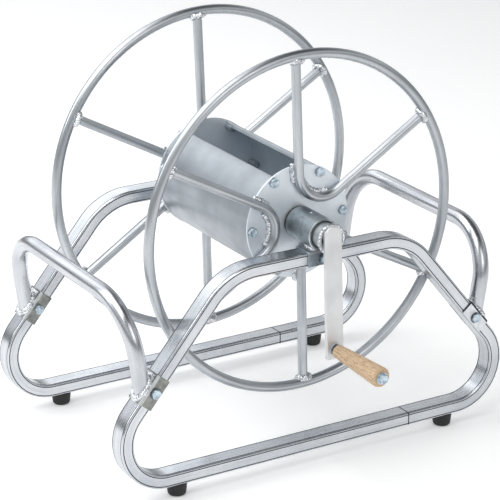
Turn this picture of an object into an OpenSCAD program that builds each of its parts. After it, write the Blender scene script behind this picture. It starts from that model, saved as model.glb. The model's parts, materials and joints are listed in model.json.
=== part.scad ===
// Portable hose reel with two bent-tube side frames, a hand crank and a free-turning drum.
// X is the drum axis with the crank at +X, Y runs along the base rails, Z is up.
// The origin is at floor level under the middle of the whole object.

/* [Side frames] */
// Straight length of a base rail, between its end bends
rail_l = 501; // [490:1:510]
// Centreline radius of the bends between rail and leg
base_bend_r = 66; // [64:1:68]
// Slope of the legs, in degrees
leg_angle = 50.24; // [50:0.01:50.6]
// Straight length of a leg, between its two bends
leg_l = 192; // [190:1:194]
// Centreline radius of the bends between leg and arch
arch_bend_r = 92; // [90:1:94]
// Distance between the centre planes of the two side frames
frame_spacing = 363; // [361:1:369]
// Width of the frame tube, along X
tube_w = 30; // [28:1:32]
// Height of the frame tube, in the plane of its bends
tube_h = 20; // [18:1:22]
// Wall of the frame tube
tube_wall = 2; // [1.5:0.5:2.5]
// Outside corner radius of the frame tube
tube_corner_r = 2.5; // [2.5:0.5:4]
// Where the ends of each frame tube meet in the base rail
seam_y = 159; // [120:1:180]

/* [Handles] */
// Outside diameter of the handle tube
handle_d = 24; // [22:1:25]
// Wall of the handle tube
handle_wall = 2; // [1.5:0.5:2.5]
// Height of a handle's top bar above the rail centreline
handle_rise = 267; // [262:1:272]
// Distance of a handle's top bar from the drum axis, along Y
handle_y = 304; // [300:1:308]
// How far a handle leans outwards, in degrees
handle_lean = 8.5; // [7.5:0.5:9.5]
// Centreline radius of the handle's two bends
handle_bend_r = 78; // [70:1:84]

/* [Brackets] */
// Sheet thickness of the brackets and saddles
bracket_t = 2.5; // [2:0.5:3]
// Length of a handle bracket along the leg
bracket_l = 48; // [44:1:52]
// Distance from the base bend to the middle of a handle bracket, along the leg
bracket_along = 43; // [40:1:46]
// Length of a bearing saddle along the arch
saddle_l = 50; // [46:1:70]

/* [Feet] */
// Height of a rubber foot
foot_h = 20; // [16:1:24]
// Diameter of a rubber foot at the rail
foot_d = 30; // [26:1:30]
// Distance of the feet from the drum axis, along Y
foot_y = 231; // [220:1:240]

/* [Bearings] */
// Height of the drum axis above the arch centreline
axle_rise = 34.6; // [34.5:0.1:35.5]
// Outside diameter of a bearing housing
housing_d = 48.6; // [48:0.1:48.6]
// Bore of a bearing housing
housing_bore = 42; // [41:0.5:43]
// Length of a bearing housing
housing_l = 63; // [60:1:64]
// Outside diameter of the drum shaft
shaft_d = 38; // [36:0.5:38.5]
// Running clearance between shaft and bush, on the radius
running_gap = 0.05; // [0.03:0.01:0.1]

/* [Drum] */
// Outside diameter of the drum shell
shell_d = 168; // [164:1:169]
// Sheet thickness of the drum shell
shell_t = 1.5; // [1.5:0.5:2]
// Length of the drum shell
shell_l = 254; // [250:1:258]
// Width of the opening in the shell, in degrees
opening_angle = 52; // [48:1:54]
// Depth of the folded lips along the opening
lip = 7; // [4:0.5:10]
// Diameter of an end plate
plate_d = 170; // [169:1:174]
// Thickness of an end plate
plate_t = 3; // [3:0.5:4]
// Pitch circle diameter of the six end plate bolts
plate_pcd = 154; // [152:1:154]

/* [Flanges] */
// Centreline radius of a flange hoop
hoop_r = 250; // [240:1:252]
// Diameter of the hoop tube
hoop_d = 15; // [14:0.5:16]
// Distance of a hoop's centre plane from the middle of the drum
hoop_x = 141; // [138:1:142]
// Diameter of the V-shaped spokes
spoke_d = 14; // [12:0.5:14]
// Centreline radius of the bend at a spoke's point
spoke_bend_r = 43; // [42:1:45]
// Straight length of each of a spoke's two arms
spoke_arm = 169.2; // [160:0.1:169.2]
// Angle between a spoke's arm and the middle of its V, in degrees
spoke_angle = 30.43; // [30:0.01:31]

/* [Crank] */
// Distance from drum axis to grip axis
crank_r = 168; // [150:1:180]
// Width of the crank arm
arm_w = 28; // [24:1:32]
// Thickness of the crank arm
arm_t = 6; // [5:0.5:8]
// Distance from the middle of the drum to the crank arm's inner face
arm_x = 218; // [214:1:222]
// Angle at which the crank hangs at rest, in degrees
rest_turn = 2.3; // [0:0.1:5]
// Length of the wooden grip
grip_l = 111; // [100:1:120]
// Diameter of the grip next to the arm
grip_d_in = 20; // [18:0.5:22]
// Largest diameter of the grip, near its outer end
grip_d_out = 30; // [26:0.5:32]

/* [Hidden] */
$fn = 64;
eps = 0.01;

// Steel fasteners: shank diameters, width across flats, head and nut heights, washer
m8_d = 8;
m8_flats = 13;
m8_head = 5.3;
m8_nut = 6.5;
m8_thin_nut = 4;
m8_washer_d = 18;
m8_washer_t = 1.6;
m6_d = 6;
// How far a bolt's thread stands out of its nut
thread_out = 3;

// Heights above the floor
rail_z = foot_h + tube_h / 2;
leg_start_z = rail_z + base_bend_r * (1 + cos(leg_angle));
arch_z = leg_start_z + leg_l * sin(leg_angle) + arch_bend_r * (1 - cos(leg_angle));
axle_z = arch_z + axle_rise;
bracket_z = leg_start_z + bracket_along * sin(leg_angle);

// Distances from the drum axis, along Y
leg_start_y = rail_l / 2 + base_bend_r * sin(leg_angle);
bracket_y = leg_start_y - bracket_along * cos(leg_angle);
arch_end_y = leg_start_y - leg_l * cos(leg_angle) - arch_bend_r * sin(leg_angle);

// Half of a side frame, from the middle of the rail to just past the middle of the arch
half_frame = [[rail_l / 2], [base_bend_r, 180 - leg_angle], [leg_l], [arch_bend_r, leg_angle],
              [arch_end_y + 0.1]];
seam_gap = 0.4;
sleeve_l = 80;
bracket_top = tube_h / 2 + bracket_t;
// Room under a bracket's top face, where the handle's foot is cut away
below_bracket = 80;

// Distances from the middle of the drum, along X
frame_mid = frame_spacing / 2;
frame_out = frame_mid + tube_w / 2;
frame_in = frame_mid - tube_w / 2;
head_out = frame_out + bracket_t + m8_head;
bolt_l = tube_w + 2 * bracket_t + m8_nut + thread_out;
plate_out = shell_l / 2 + plate_t;
housing_in = 135;
housing_out = housing_in + housing_l;
end_gap = 0.4;
thrust_t = housing_in - plate_out - end_gap;
thrust_d = 46;
spoke_x = plate_out + spoke_d / 2;
bush_recess = 3;
shaft_left = housing_out + bush_recess;
arm_out = arm_x + arm_t;
grip_end_gap = 0.3;
grip_in = arm_out + m8_thin_nut + m8_washer_t + grip_end_gap;
outer_washer_x = grip_in + grip_l + grip_end_gap;
grip_head_x = outer_washer_x + m8_washer_t;
right_reach = grip_head_x + m8_head;
left_reach = head_out;

// The middle of the drum, seen from the middle of the whole object
drum_mid_x = (left_reach - right_reach) / 2;

shaft_wall = 3;
cap_t = 3;
oil_x = 167;
oiler_d = 6;
boss_d = 11;
boss_l = 18;
plate_bolt_l = 20;
arm_top = 20;
arm_end = 14;
bolt_hole_gap = 0.2;
grip_gap = 0.08;

// ---------- Bent tubes ----------

// A straight of length l along +X, drawn from the 2D section in children
module straight(l) {
    rotate([90, 0, 90])
        linear_extrude(l)
            children();
}

// A bend of radius r through an angle to the left, starting along +X
module bend(r, angle) {
    translate([0, r])
        rotate(-90)
            rotate_extrude(angle = angle, $fn = 128)
                translate([r, 0])
                    children();
}

// A tube that follows a list of steps: [length] is a straight and [radius, angle] a left bend
module bent_tube(steps, i = 0) {
    if (i < len(steps)) {
        step = steps[i];
        if (len(step) == 1) {
            straight(step[0]) children();
            translate([step[0], 0])
                bent_tube(steps, i + 1) children();
        } else {
            bend(step[0], step[1]) children();
            translate([0, step[0]])
                rotate(step[1])
                    translate([0, -step[0]])
                        bent_tube(steps, i + 1) children();
        }
    }
}

// A rectangle with round corners, centred
module rounded_rect(w, h, r) {
    square([w - 2 * r, h], center = true);
    square([w, h - 2 * r], center = true);
    for (x = [-1, 1], y = [-1, 1])
        translate([x * (w / 2 - r), y * (h / 2 - r)])
            circle(r);
}

module frame_section() {
    difference() {
        rounded_rect(tube_h, tube_w, tube_corner_r);
        rounded_rect(tube_h - 2 * tube_wall, tube_w - 2 * tube_wall, tube_corner_r - tube_wall);
    }
}

module ring_section(d, wall) {
    difference() {
        circle(d = d);
        circle(d = d - 2 * wall);
    }
}

// ---------- Placing ----------

// From the middle of the drum at floor level
module from_drum_mid() {
    translate([drum_mid_x, 0, 0])
        children();
}

// Right is the crank side; the left side is its mirror image
module on_side(side) {
    from_drum_mid()
        mirror([side == "left" ? 1 : 0, 0, 0])
            children();
}

// From the drum axis, turned to the rest position of the crank
module on_drum() {
    translate([drum_mid_x, 0, axle_z])
        rotate([rest_turn, 0, 0])
            children();
}

// Both ends of the drum
module both_ends() {
    children();
    mirror([1, 0, 0])
        children();
}

// Stands a plan drawing up in the Y-Z plane, with its thickness along +X
module upright() {
    rotate([90, 0, 90])
        children();
}

// Along the front leg: children's X runs up the leg and Y points out of its outer face
module on_front_leg() {
    translate([frame_mid, -bracket_y, bracket_z])
        upright()
            rotate(leg_angle)
                children();
}

// Front is -Y; the rear end is its mirror image
module at_end(end) {
    mirror([0, end == "rear" ? 1 : 0, 0])
        children();
}

// A solid rod along +X from x0 to x1
module rod(x0, x1, d) {
    translate([x0, 0, 0])
        rotate([0, 90, 0])
            cylinder(h = x1 - x0, d = d);
}

// A ring along +X from x0 to x1
module ring(x0, x1, d, bore) {
    difference() {
        rod(x0, x1, d);
        rod(x0 - 1, x1 + 1, bore);
    }
}

// A hexagonal prism along +X from x0 to x1, by its width across flats
module hex(x0, x1, flats) {
    translate([x0, 0, 0])
        rotate([0, 90, 0])
            cylinder(h = x1 - x0, d = flats / cos(30), $fn = 6);
}

// ---------- Frame ----------

// One base rail, two legs and the arch in one closed loop of tube, with its drilled holes
module side_frame(side) {
    color("gainsboro")
        on_side(side)
            difference() {
                for (end = ["front", "rear"])
                    at_end(end)
                        translate([frame_mid, 0, rail_z])
                            upright()
                                bent_tube(half_frame) frame_section();
                translate([frame_mid, seam_y, rail_z])
                    cube([tube_w + 1, seam_gap, tube_h + 1], center = true);
                for (end = ["front", "rear"]) {
                    at_end(end)
                        translate([0, -bracket_y, bracket_z])
                            rod(frame_in - 1, frame_out + 1, m8_d + bolt_hole_gap);
                    at_end(end)
                        translate([frame_mid, -foot_y, rail_z - tube_h / 2 - 1])
                            cylinder(h = tube_wall + 2, d = m6_d);
                }
                translate([0, 0, arch_z])
                    rod(frame_in - 1, frame_out + 1, m8_d + bolt_hole_gap);
            }
}

// The spigots inside the rails, where the ends of each frame tube meet
module rail_sleeves() {
    color("silver")
        for (side = ["right", "left"])
            on_side(side)
                translate([frame_mid, seam_y - sleeve_l / 2, rail_z])
                    rotate([90, 0, 180])
                        linear_extrude(sleeve_l)
                            difference() {
                                rounded_rect(tube_w - 2 * tube_wall, tube_h - 2 * tube_wall,
                                             tube_corner_r - tube_wall);
                                square([tube_w - 4 * tube_wall, tube_h - 4 * tube_wall], center = true);
                            }
}

// A U-shaped carrying handle, cut to sit on its two brackets
module handle(end) {
    leg = handle_rise - handle_bend_r - below_bracket;
    shape = [[leg], [handle_bend_r, 90], [2 * (frame_mid - handle_bend_r)], [handle_bend_r, 90], [leg]];
    color("gainsboro")
        from_drum_mid()
            at_end(end)
                difference() {
                    translate([0, -handle_y, rail_z + handle_rise])
                        rotate([90 + handle_lean, 0, 0])
                            translate([frame_mid, -handle_bend_r - leg])
                                rotate(90)
                                    bent_tube(shape) ring_section(handle_d, handle_wall);
                    both_ends()
                        on_front_leg()
                            translate([-below_bracket, bracket_top - below_bracket, -tube_w])
                                cube([2 * below_bracket, below_bracket, 2 * tube_w]);
                }
}

// Folded sheet over three sides of a tube: children's X runs along the tube, Y out of its top
module folded_clip(length) {
    difference() {
        translate([-length / 2, -tube_h / 2, -tube_w / 2 - bracket_t])
            cube([length, tube_h / 2 + bracket_top, tube_w + 2 * bracket_t]);
        translate([-length / 2 - 1, -tube_h / 2 - 1, -tube_w / 2])
            cube([length + 2, tube_h + 1, tube_w]);
        cylinder(h = 2 * tube_w, d = m8_d + bolt_hole_gap, center = true);
    }
}

// The bracket that ties a handle's foot to a leg
module handle_bracket(end, side) {
    color("dimgray")
        on_side(side)
            at_end(end)
                on_front_leg()
                    folded_clip(bracket_l);
}

// The saddle that carries a bearing housing on an arch, cut to let the housing bed into it
module saddle(side) {
    color("dimgray")
        on_side(side)
            difference() {
                translate([frame_mid, 0, arch_z])
                    upright()
                        folded_clip(saddle_l);
                translate([0, 0, axle_z])
                    rod(housing_in, frame_out + tube_w, housing_d);
            }
}

// Where the frame's bolts cross it, on one side
module at_bracket_bolts() {
    for (end = ["front", "rear"])
        at_end(end)
            translate([0, -bracket_y, bracket_z])
                children();
    translate([0, 0, arch_z])
        children();
}

// Hexagon bolts through the four handle brackets and the two saddles
module bracket_bolts() {
    color("lightsteelblue")
        for (side = ["right", "left"])
            on_side(side)
                at_bracket_bolts() {
                    hex(frame_out + bracket_t, head_out, m8_flats);
                    rod(frame_out + bracket_t - bolt_l, frame_out + bracket_t + eps, m8_d);
                }
}

// Their nuts, on the drum side of the frames
module bracket_nuts() {
    color("lightsteelblue")
        for (side = ["right", "left"])
            on_side(side)
                at_bracket_bolts()
                    difference() {
                        hex(frame_in - bracket_t - m8_nut, frame_in - bracket_t, m8_flats);
                        rod(frame_in - tube_w, frame_in, m8_d);
                    }
}

// ---------- Bearings ----------

// A steel pipe on the saddle
module bearing_housing(side) {
    color("slategray")
        on_side(side)
            translate([0, 0, axle_z])
                difference() {
                    ring(housing_in, housing_out, housing_d, housing_bore);
                    translate([oil_x, 0, 0])
                        cylinder(h = housing_d, d = oiler_d);
                }
}

// The plain bush that the shaft turns in
module bearing_bush(side) {
    color("whitesmoke")
        on_side(side)
            translate([0, 0, axle_z])
                difference() {
                    ring(housing_in + bush_recess, housing_out - bush_recess,
                         housing_bore, shaft_d + 2 * running_gap);
                    translate([oil_x, 0, 0])
                        cylinder(h = housing_d, d = oiler_d / 2);
                }
}

// Press-in ball oilers, flush with the top of the housings
module ball_oilers() {
    color("white")
        for (side = ["right", "left"])
            on_side(side)
                translate([oil_x, 0, axle_z + housing_bore / 2]) {
                    difference() {
                        cylinder(h = (housing_d - housing_bore) / 2, d = oiler_d);
                        translate([0, 0, -1])
                            cylinder(h = housing_d, d = oiler_d / 2);
                    }
                    cylinder(h = (housing_d - housing_bore) / 2, d = oiler_d / 2);
                }
}

// ---------- Feet ----------

module at_feet() {
    for (side = ["right", "left"], end = ["front", "rear"])
        on_side(side)
            at_end(end)
                translate([frame_mid, -foot_y, 0])
                    children();
}

// Round rubber feet, narrower and rounded at the floor
module rubber_feet() {
    round_r = 5;
    r_top = foot_d / 2;
    r_low = r_top - 1.5;
    color("black")
        at_feet()
            difference() {
                rotate_extrude()
                    polygon(concat([[0, 0]],
                                   [for (a = [-90 : 15 : 0])
                                       [r_low - round_r + round_r * cos(a), round_r + round_r * sin(a)]],
                                   [[r_top, foot_h], [0, foot_h]]));
                translate([0, 0, foot_h / 2])
                    cylinder(h = foot_h, d = m6_d);
            }
}

// The studs moulded into the feet, screwed into the rails
module foot_studs() {
    color("lightsteelblue")
        at_feet()
            translate([0, 0, foot_h / 2])
                cylinder(h = foot_h / 2 + tube_wall + 2 * thread_out, d = m6_d);
}

// ---------- Drum ----------

// Children less the opening at the top of the drum
module less_opening() {
    reach = shell_d * tan(opening_angle / 2);
    difference() {
        children();
        polygon([[0, 0], [reach, shell_d], [-reach, shell_d]]);
    }
}

// A drawing across the drum, drawn out to length l about the middle of the drum
module across_drum(l) {
    translate([-l / 2, 0, 0])
        upright()
            linear_extrude(l)
                children();
}

// A sheet rolled round the drum axis, open at the top. The edges of the opening are folded
// inwards between the bosses.
module drum_shell() {
    color("silver")
        on_drum() {
            across_drum(shell_l)
                less_opening()
                    ring_section(shell_d, shell_t, $fn = 128);
            across_drum(shell_l - 2 * boss_l - 2 * shell_t)
                less_opening()
                    for (side = [-1, 1])
                        rotate(side * opening_angle / 2)
                            translate([-shell_t, shell_d / 2 - lip])
                                square([2 * shell_t, lip - shell_t / 2]);
        }
}

// The places of an end plate's six bolts, on the right end
module at_plate_bolts() {
    for (i = [0 : 5])
        rotate([60 * i, 0, 0])
            translate([0, 0, plate_pcd / 2])
                rotate([30, 0, 0])
                    children();
}

module end_plate(side) {
    color("silver")
        on_drum()
            mirror([side == "left" ? 1 : 0, 0, 0])
                difference() {
                    ring(shell_l / 2, plate_out, plate_d, shaft_d);
                    rotate([30, 0, 0])
                        at_plate_bolts()
                            rod(0, plate_out + 1, m8_d + bolt_hole_gap);
                }
}

// Tapped bosses welded inside the shell, which the end plates are bolted to
module shell_bosses() {
    color("silver")
        on_drum()
            both_ends()
                rotate([30, 0, 0])
                    at_plate_bolts()
                        ring(shell_l / 2 - boss_l, shell_l / 2, boss_d, m8_d);
}

module plate_bolts() {
    color("lightsteelblue")
        on_drum()
            both_ends()
                rotate([30, 0, 0])
                    at_plate_bolts() {
                        hex(plate_out, plate_out + m8_head, m8_flats);
                        rod(plate_out - plate_bolt_l, plate_out + eps, m8_d);
                    }
}

// ---------- Flanges ----------

module hoop(side) {
    color("gainsboro")
        on_drum()
            mirror([side == "left" ? 1 : 0, 0, 0])
                translate([hoop_x, 0, 0])
                    rotate([0, 90, 0])
                        rotate_extrude($fn = 180)
                            translate([hoop_r, 0])
                                circle(d = hoop_d);
}

// Three bent rods, each with its point on the end plate and its two ends against the hoop
module spokes(side) {
    reach = spoke_arm + spoke_bend_r / tan(spoke_angle);
    vee = [[spoke_arm], [spoke_bend_r, 180 - 2 * spoke_angle], [spoke_arm]];
    color("gainsboro")
        on_drum()
            mirror([side == "left" ? 1 : 0, 0, 0])
                for (i = [0 : 2])
                    rotate([60 + 120 * i, 0, 0])
                        translate([spoke_x, 0, 0])
                            upright()
                                rotate(spoke_angle)
                                    translate([reach, 0])
                                        rotate(180)
                                            bent_tube(vee) rotate(90) circle(d = spoke_d);
}

// ---------- Shaft and crank ----------

// One pipe right through the drum, turning in both bearings
module drum_shaft() {
    color("silver")
        on_drum()
            ring(-shaft_left, arm_x, shaft_d, shaft_d - 2 * shaft_wall);
}

// Closes the open end of the shaft
module shaft_end_cap() {
    color("black")
        on_drum() {
            rod(-shaft_left - cap_t, -shaft_left, shaft_d);
            rod(-shaft_left - eps, -shaft_left + 4 * cap_t, shaft_d - 2 * shaft_wall);
        }
}

// Rings that hold the drum in the middle, between its end plates and the housings
module thrust_washers() {
    color("whitesmoke")
        on_drum()
            both_ends()
                ring(plate_out, plate_out + thrust_t, thrust_d, shaft_d);
}

// A flat bar welded to the end of the shaft
module crank_arm() {
    color("silver")
        on_drum()
            translate([arm_x, 0, 0])
                rotate([90, 0, 90])
                    linear_extrude(arm_t)
                        difference() {
                            union() {
                                translate([-arm_w / 2, -crank_r - arm_end])
                                    square([arm_w, crank_r + arm_end + arm_top - arm_w / 2]);
                                translate([0, arm_top - arm_w / 2])
                                    circle(d = arm_w);
                            }
                            translate([0, -crank_r])
                                circle(d = m8_d);
                        }
}

// Children are drawn round the grip's axis
module on_grip() {
    on_drum()
        translate([0, 0, -crank_r])
            children();
}

// The long hexagon bolt that the grip turns on
module grip_bolt() {
    color("lightsteelblue")
        on_grip() {
            hex(grip_head_x, right_reach, m8_flats);
            rod(arm_x - m8_nut - thread_out, grip_head_x + eps, m8_d);
        }
}

// One washer against the crank arm and one at the outer end of the grip
module grip_washers() {
    color("lightsteelblue")
        on_grip()
            for (x = [arm_out, outer_washer_x])
                ring(x, x + m8_washer_t, m8_washer_d, m8_d);
}

// One nut on each side of the crank arm
module grip_nuts() {
    color("lightsteelblue")
        on_grip()
            difference() {
                union() {
                    hex(arm_x - m8_nut, arm_x, m8_flats);
                    hex(arm_out + m8_washer_t, arm_out + m8_washer_t + m8_thin_nut, m8_flats);
                }
                rod(arm_x - arm_w, arm_out + arm_w, m8_d);
            }
}

// A turned wooden grip that widens evenly from the arm outwards, with rounded ends
module wooden_grip() {
    full_at = 0.95 * grip_l;
    end_round = 2;
    tip_r = 11;
    tip = [for (a = [0 : 15 : 90])
        [tip_r + (grip_d_out / 2 - tip_r) * cos(a), full_at + (grip_l - full_at) * sin(a)]];
    color("burlywood")
        on_grip()
            translate([grip_in, 0, 0])
                rotate([0, 90, 0])
                    difference() {
                        rotate_extrude()
                            polygon(concat([[0, 0], [grip_d_in / 2 - end_round, 0],
                                            [grip_d_in / 2, end_round]], tip, [[0, grip_l]]));
                        translate([0, 0, -1])
                            cylinder(h = grip_l + 2, d = m8_d + 2 * grip_gap);
                    }
}

side_frame("right");  // right_side_frame
side_frame("left");  // left_side_frame
rail_sleeves();
handle("front");  // front_handle
handle("rear");  // rear_handle
handle_bracket("front", "right");  // front_right_bracket
handle_bracket("front", "left");  // front_left_bracket
handle_bracket("rear", "right");  // rear_right_bracket
handle_bracket("rear", "left");  // rear_left_bracket
saddle("right");  // right_saddle
saddle("left");  // left_saddle
bracket_bolts();
bracket_nuts();
bearing_housing("right");  // right_bearing_housing
bearing_housing("left");  // left_bearing_housing
bearing_bush("right");  // right_bearing_bush
bearing_bush("left");  // left_bearing_bush
ball_oilers();
rubber_feet();
foot_studs();
drum_shell();
end_plate("right");  // right_end_plate
end_plate("left");  // left_end_plate
shell_bosses();
plate_bolts();
hoop("right");  // right_hoop
hoop("left");  // left_hoop
spokes("right");  // right_spokes
spokes("left");  // left_spokes
drum_shaft();
shaft_end_cap();
thrust_washers();
crank_arm();
grip_bolt();
grip_washers();
grip_nuts();
wooden_grip();
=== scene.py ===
import json
import math

import bmesh
import bpy
from mathutils import Matrix, Vector, noise


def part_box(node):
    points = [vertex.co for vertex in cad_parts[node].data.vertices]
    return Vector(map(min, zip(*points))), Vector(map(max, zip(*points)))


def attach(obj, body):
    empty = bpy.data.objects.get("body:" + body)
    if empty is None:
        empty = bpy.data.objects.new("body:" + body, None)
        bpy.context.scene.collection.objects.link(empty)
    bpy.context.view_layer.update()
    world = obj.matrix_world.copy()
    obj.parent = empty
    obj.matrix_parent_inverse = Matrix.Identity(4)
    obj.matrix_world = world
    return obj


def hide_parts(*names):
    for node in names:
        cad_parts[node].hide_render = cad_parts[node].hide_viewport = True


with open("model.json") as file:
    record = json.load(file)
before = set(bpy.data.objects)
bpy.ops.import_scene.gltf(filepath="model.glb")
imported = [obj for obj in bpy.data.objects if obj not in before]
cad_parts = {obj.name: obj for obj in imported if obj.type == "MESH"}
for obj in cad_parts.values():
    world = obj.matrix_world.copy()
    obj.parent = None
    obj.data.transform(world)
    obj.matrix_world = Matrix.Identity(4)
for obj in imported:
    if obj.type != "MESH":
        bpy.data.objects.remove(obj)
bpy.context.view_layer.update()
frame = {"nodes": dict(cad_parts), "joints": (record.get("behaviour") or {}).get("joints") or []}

# -------- places and sizes from the frame
MM = 0.001
joints = {j["name"]: j for j in frame["joints"]}
axle = Vector(joints["drum_spin"]["pos_m"])
grip_axis = Vector(joints["grip_spin"]["pos_m"])
to_grip = (grip_axis - axle) / MM
crank_r = math.hypot(to_grip.y, to_grip.z)
rest_turn = math.atan2(to_grip.y, -to_grip.z)


def span(node):
    """Lowest and highest corner of a CAD node, in mm, with x and y from the drum axis's middle."""
    low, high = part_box(node)
    middle = Vector((axle.x, 0, 0))
    return (Vector(low) - middle) / MM, (Vector(high) - middle) / MM


def ends_x(node):
    """Lowest and highest x of a CAD node, in mm."""
    low, high = span(node)
    return low.x, high.x


frame_low, frame_high = span("right_side_frame")
tube_w = frame_high.x - frame_low.x
frame_mid = (frame_low.x + frame_high.x) / 2
tube_h = 20
foot_h = frame_low.z
rail_z = foot_h + tube_h / 2
arch_z = frame_high.z - tube_h / 2
axle_z = axle.z / MM

# The bending schedule of the tubes
rail_l = 501
base_bend_r = 66
leg_angle = math.radians(50.24)
leg_l = 192
arch_bend_r = 92
corner_r = 2.5
groove_w = 1.4
groove_d = 0.5
seam_y = 159
seam_gap = 0.4
# Length of tube beside the seam whose faces carry painted shade.
seam_shade_l = 0.7
leg_start_y = rail_l / 2 + base_bend_r * math.sin(leg_angle)
leg_start_z = rail_z + base_bend_r * (1 + math.cos(leg_angle))
arch_end_y = leg_start_y - leg_l * math.cos(leg_angle) - arch_bend_r * math.sin(leg_angle)

handle_d = 24
handle_rise = 267
handle_y = 304
handle_lean = math.radians(8.5)
handle_bend_r = 78
handle_leg = 109

bracket_t = 2.5
bracket_l = 48
bracket_along = 43
saddle_l = 50
fold_r = 1.2
bracket_y = leg_start_y - bracket_along * math.cos(leg_angle)
bracket_z = leg_start_z + bracket_along * math.sin(leg_angle)

hoop_d = 15
hoop_low, hoop_high = span("right_hoop")
hoop_r = (hoop_high.z - hoop_low.z - hoop_d) / 2
hoop_x = sum(ends_x("right_hoop")) / 2
spoke_d = 14
spoke_bend_r = 43
spoke_angle = math.radians(30.43)
spoke_arm = 169.2
spoke_x = sum(ends_x("right_spokes")) / 2

plate_in, plate_out = ends_x("right_end_plate")
plate_r = 85
shell_r = 84
shell_t = 1.5
opening_half = math.radians(26)
lip = 7
plain_edge = 2.8
boss_l = 18
bolt_circle_r = 77

housing_r = 24.3
housing_bore_r = 21
housing_in, housing_out = ends_x("right_bearing_housing")
oil_x = 167
shaft_r = 19
shaft_wall = 3
shaft_left, shaft_right = ends_x("drum_shaft")
arm_in, arm_out = ends_x("crank_arm")
arm_half_w = 14.0
grip_in, grip_out = ends_x("wooden_grip")
bolt_end = span("grip_bolt")[1].x

# M8 bolts. On frame and plates head_h takes in the washer. shank_past and tip_past are how far shank
# and thread go beyond the face that the nut bears on.
shank_r = 3.95
flats_w = 13
head_h = 5.3
nut_h = 6.5
shank_past = 6.0
tip_past = 9.5
thread_l = 4.5
thread_r = 4.0
thread_pitch = 1.25

# Local frames: children are in mm, x from the middle of the drum
TURN_AND_SCALE = Matrix.Rotation(rest_turn, 4, "X") @ Matrix.Scale(MM, 4)
ON_FLOOR = Matrix.Translation((axle.x, 0, 0)) @ Matrix.Scale(MM, 4)
ON_DRUM = Matrix.Translation(axle) @ TURN_AND_SCALE
ON_GRIP = Matrix.Translation((axle.x, grip_axis.y, grip_axis.z)) @ TURN_AND_SCALE
UPRIGHT = Matrix.Rotation(-math.pi / 2, 4, "Y")
SIDES = {"right": Matrix.Identity(4), "left": Matrix.Diagonal((-1, 1, 1, 1))}
ENDS = {"front": Matrix.Identity(4), "rear": Matrix.Diagonal((1, -1, 1, 1))}


def turned(degrees):
    return Matrix.Rotation(math.radians(degrees), 4, "X")


# -------- materials
class Tree:
    """A short way to add and link nodes."""

    def __init__(self, tree):
        self.tree = tree

    def add(self, kind, inputs=None, **settings):
        node = self.tree.nodes.new(kind)
        for key, value in settings.items():
            setattr(node, key, value)
        for key, value in (inputs or {}).items():
            self.set(node.inputs[key], value)
        return node

    def set(self, socket, value):
        if isinstance(value, bpy.types.NodeSocket):
            self.tree.links.new(value, socket)
        else:
            socket.default_value = value


class Nodes(Tree):
    """A short way to write a material's node tree."""

    def __init__(self, name):
        self.material = bpy.data.materials.new("look_" + name)
        self.material.use_nodes = True
        super().__init__(self.material.node_tree)
        self.shader = self.tree.nodes["Principled BSDF"]
        self.place = self.add("ShaderNodeAttribute", attribute_name="grain").outputs["Vector"]
        self.world = self.add("ShaderNodeTexCoord").outputs["Object"]

    def noise(self, place, scale, detail=3.0, rough=0.5, stretch=(1, 1, 1)):
        mapped = self.add("ShaderNodeMapping", {"Vector": place, "Scale": stretch})
        made = self.add("ShaderNodeTexNoise", {"Vector": mapped.outputs[0], "Scale": scale,
                                               "Detail": detail, "Roughness": rough})
        return made.outputs["Fac"]

    def between(self, value, low, high, to_low=0.0, to_high=1.0):
        made = self.add("ShaderNodeMapRange", {"Value": value, "From Min": low, "From Max": high,
                                               "To Min": to_low, "To Max": to_high})
        return made.outputs[0]

    def mix(self, factor, first, second):
        made = self.add("ShaderNodeMix", data_type="RGBA")
        self.set(made.inputs[0], factor)
        self.set(made.inputs[6], first)
        self.set(made.inputs[7], second)
        return made.outputs[2]

    def maths(self, operation, first, second=0.0):
        made = self.add("ShaderNodeMath", operation=operation)
        self.set(made.inputs[0], first)
        self.set(made.inputs[1], second)
        return made.outputs[0]

    def plus(self, first, second):
        return self.maths("ADD", first, second)

    def times(self, first, second):
        return self.maths("MULTIPLY", first, second)

    def finish(self, color, rough, height=None, depth=0.0001, metallic=0.0):
        self.set(self.shader.inputs["Base Color"], color)
        self.set(self.shader.inputs["Roughness"], rough)
        self.shader.inputs["Metallic"].default_value = metallic
        if height is not None:
            bump = self.add("ShaderNodeBump", {"Height": height, "Strength": 1.0, "Distance": depth})
            self.set(self.shader.inputs["Normal"], bump.outputs[0])
        return self.material


def rgb(red, green, blue):
    return (red, green, blue, 1.0)


def drawn_metal(name, light, dark, rough, depth=0.00004, streak=0.35):
    """Drawn or extruded metal: streaks run along each tube, over slow changes of tone."""
    n = Nodes(name)
    fine = n.noise(n.place, 1.0, 4, 0.6, (0.012, 1.6, 1.6))
    broad = n.noise(n.place, 1.0, 2, 0.5, (0.006, 0.22, 0.22))
    cloud = n.noise(n.world, 9.0, 4, 0.6)
    scuff = n.noise(n.world, 420.0, 2, 0.6)
    streaks = n.between(fine, 0.3, 0.7, 0.0, streak)
    tone = n.plus(streaks, n.between(broad, 0.35, 0.65, 0.0, 0.35))
    tone = n.plus(tone, n.between(cloud, 0.4, 0.68, 0.0, 0.5))
    color = n.mix(n.times(tone, 0.8), light, dark)
    gloss = n.plus(n.between(fine, 0.25, 0.75, rough - 0.05, rough + 0.06),
                   n.between(cloud, 0.35, 0.7, -0.03, 0.08))
    height = n.plus(fine, n.times(scuff, 0.12))
    return n.finish(color, gloss, height, depth, 1.0)


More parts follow.
